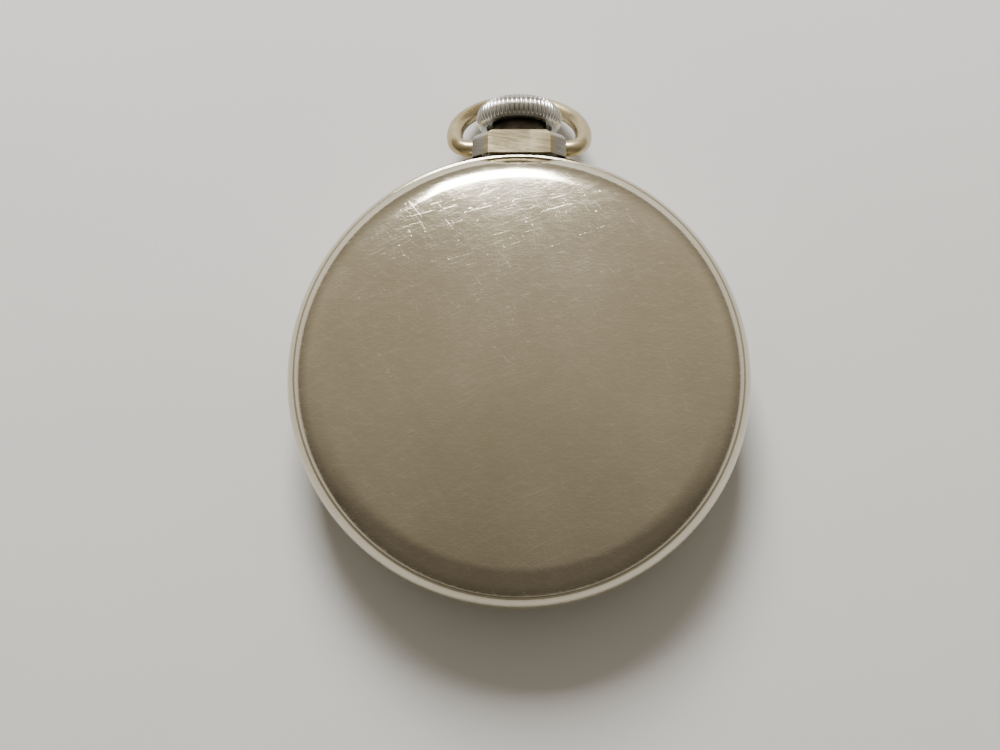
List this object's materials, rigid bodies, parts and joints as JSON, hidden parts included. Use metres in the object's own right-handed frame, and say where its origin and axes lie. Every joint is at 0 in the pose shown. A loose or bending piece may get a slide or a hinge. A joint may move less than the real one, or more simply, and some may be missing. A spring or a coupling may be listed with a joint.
{
  "type": "open face pocket watch",
  "caption": "Round open face pocket watch with a screw-off domed steel back, hinged wire bow, fluted crown and a bridged hand-wound movement.",
  "frame": {"origin": "on the case axis at the flat outer face of the crystal, which lies on the table", "axes": "+Z out of the back cover, +Y out of the crown at 12 o'clock, +X to the right seen from the back"},
  "size_m": [0.051, 0.061, 0.0135],
  "materials": {
    "case_steel": "satin with fine hairlines, polished at the shoulder",
    "pendant_steel": "brushed, faintly yellow on its flat",
    "crown_steel": "polished flutes, satin end",
    "bow_silver": "pale nickel silver wire, worn smooth",
    "polished_steel": "polished",
    "wheel_steel": "ring-brushed flats",
    "blued_steel": "heat-blued, polished",
    "bridge_nickel": "nickel plate with straight stripes",
    "wheel_brass": "gilt, fine grained",
    "ruby": "clear red synthetic ruby, polished",
    "enamel": "fired white enamel",
    "crystal_glass": "clear mineral glass"
  },
  "bodies": {
    "bezel_ring": {"bezel": "case_steel", "crystal": "crystal_glass"},
    "case": {"case_band": "case_steel", "pendant": "pendant_steel", "sleeve": "polished_steel", "case_screws": "blued_steel", "main_plate": "bridge_nickel", "barrel_bridge": "bridge_nickel", "train_bridge": "bridge_nickel", "pallet_bridge": "bridge_nickel", "balance_cock": "bridge_nickel", "bridge_screws": "blued_steel", "plate_jewels": "ruby", "train_jewels": "ruby", "dial": "enamel", "crown_wheel_screw": "blued_steel", "click_screw": "blued_steel", "click_spring": "polished_steel", "hairspring_stud": "polished_steel", "regulator": "polished_steel", "hairspring": "blued_steel"},
    "back": {"back_cover": "case_steel"},
    "bow_ring": {"bow": "bow_silver"},
    "winding_stem": {"winding_arbor": "polished_steel", "winding_pinion": "polished_steel"},
    "crown_and_stem": {"crown": "crown_steel", "stem": "polished_steel"},
    "crown_wheel_body": {"crown_wheel": "wheel_steel"},
    "ratchet_body": {"ratchet_wheel": "wheel_steel", "ratchet_screw": "blued_steel", "barrel_arbor": "polished_steel"},
    "click_body": {"click": "polished_steel"},
    "barrel_body": {"barrel": "wheel_brass", "barrel_cover": "wheel_brass", "mainspring": "blued_steel"},
    "centre_body": {"centre_wheel": "wheel_brass", "centre_pinion": "polished_steel"},
    "third_body": {"third_wheel": "wheel_brass", "third_pinion": "polished_steel"},
    "fourth_body": {"fourth_wheel": "wheel_brass", "fourth_pinion": "polished_steel", "seconds_hand": "blued_steel"},
    "escape_body": {"escape_wheel": "polished_steel", "escape_pinion": "polished_steel"},
    "pallet_body": {"pallet_fork": "polished_steel", "pallet_stones": "ruby", "pallet_arbor": "polished_steel"},
    "balance_body": {"balance_wheel": "wheel_brass", "balance_screws": "wheel_brass", "balance_staff": "polished_steel", "roller": "ruby"},
    "cannon_body": {"cannon_pinion": "wheel_brass", "minute_hand": "blued_steel"},
    "minute_body": {"minute_wheel": "wheel_brass"},
    "hour_body": {"hour_wheel": "wheel_brass", "hour_hand": "blued_steel"}
  },
  "joints": [
    {"name": "bezel_unscrew", "type": "slide", "parent": "bezel_ring", "child": "case", "axis": [0, 0, 1], "range_m": [0, 0.02]},
    {"name": "back_cover_unscrew", "type": "slide", "parent": "case", "child": "back", "axis": [0, 0, 1], "range_m": [0, 0.025]},
    {"name": "bow_hinge", "type": "hinge", "parent": "case", "child": "bow_ring", "pos_m": [0, 0.0263, 0.0074], "axis": [1, 0, 0], "range_deg": [-45, 120]},
    {"name": "winding", "type": "hinge", "parent": "case", "child": "winding_stem", "pos_m": [0, 0.0195, 0.0074], "axis": [0, 1, 0], "continuous": true},
    {"name": "crown_pull", "type": "slide", "parent": "winding_stem", "child": "crown_and_stem", "axis": [0, 1, 0], "range_m": [0, 0.0012]},
    {"name": "crown_wheel_turn", "type": "hinge", "parent": "case", "child": "crown_wheel_body", "pos_m": [0, 0.01481, 0.0102], "axis": [0, 0, 1], "continuous": true},
    {"name": "ratchet_turn", "type": "hinge", "parent": "case", "child": "ratchet_body", "pos_m": [0.006, 0.0081, 0.0102], "axis": [0, 0, 1], "continuous": true},
    {"name": "click_lift", "type": "hinge", "parent": "case", "child": "click_body", "pos_m": [0.0137, 0.01091, 0.0102], "axis": [0, 0, 1], "range_deg": [0, 8], "stiffness_Nm_per_rad": 0.00002},
    {"name": "fourth_turn", "type": "hinge", "parent": "case", "child": "fourth_body", "pos_m": [0, -0.011, 0.008], "axis": [0, 0, 1], "continuous": true},
    {"name": "escape_turn", "type": "hinge", "parent": "case", "child": "escape_body", "pos_m": [-0.00538, -0.00904, 0.008], "axis": [0, 0, 1], "continuous": true},
    {"name": "third_turn", "type": "hinge", "parent": "case", "child": "third_body", "pos_m": [0.00465, -0.00663, 0.008], "axis": [0, 0, 1], "continuous": true},
    {"name": "centre_turn", "type": "hinge", "parent": "case", "child": "centre_body", "pos_m": [0, 0, 0.008], "axis": [0, 0, 1], "continuous": true},
    {"name": "barrel_turn", "type": "hinge", "parent": "case", "child": "barrel_body", "pos_m": [0.006, 0.0081, 0.008], "axis": [0, 0, 1], "continuous": true},
    {"name": "hand_setting", "type": "hinge", "parent": "case", "child": "cannon_body", "pos_m": [0, 0, 0.004], "axis": [0, 0, 1], "continuous": true},
    {"name": "minute_wheel_turn", "type": "hinge", "parent": "case", "child": "minute_body", "pos_m": [0.00416, 0.0024, 0.0044], "axis": [0, 0, 1], "continuous": true},
    {"name": "hour_turn", "type": "hinge", "parent": "case", "child": "hour_body", "pos_m": [0, 0, 0.004], "axis": [0, 0, 1], "continuous": true},
    {"name": "pallet_swing", "type": "hinge", "parent": "case", "child": "pallet_body", "pos_m": [-0.00918, -0.00736, 0.008], "axis": [0, 0, 1], "range_deg": [-5, 5]},
    {"name": "balance_swing", "type": "hinge", "parent": "case", "child": "balance_body", "pos_m": [-0.01068, -0.00333, 0.008], "axis": [0, 0, 1], "range_deg": [-270, 270], "deforming": ["hairspring"]}
  ],
  "couplings": [
    {"joint": "crown_wheel_turn", "follows": "winding", "ratio": -0.81818},
    {"joint": "ratchet_turn", "follows": "winding", "ratio": 0.47368},
    {"joint": "escape_turn", "follows": "fourth_turn", "ratio": -10},
    {"joint": "third_turn", "follows": "fourth_turn", "ratio": -0.13333},
    {"joint": "centre_turn", "follows": "fourth_turn", "ratio": 0.016667},
    {"joint": "barrel_turn", "follows": "fourth_turn", "ratio": -0.0027778},
    {"joint": "minute_wheel_turn", "follows": "hand_setting", "ratio": -0.33333},
    {"joint": "hour_turn", "follows": "hand_setting", "ratio": 0.083333}
  ]
}
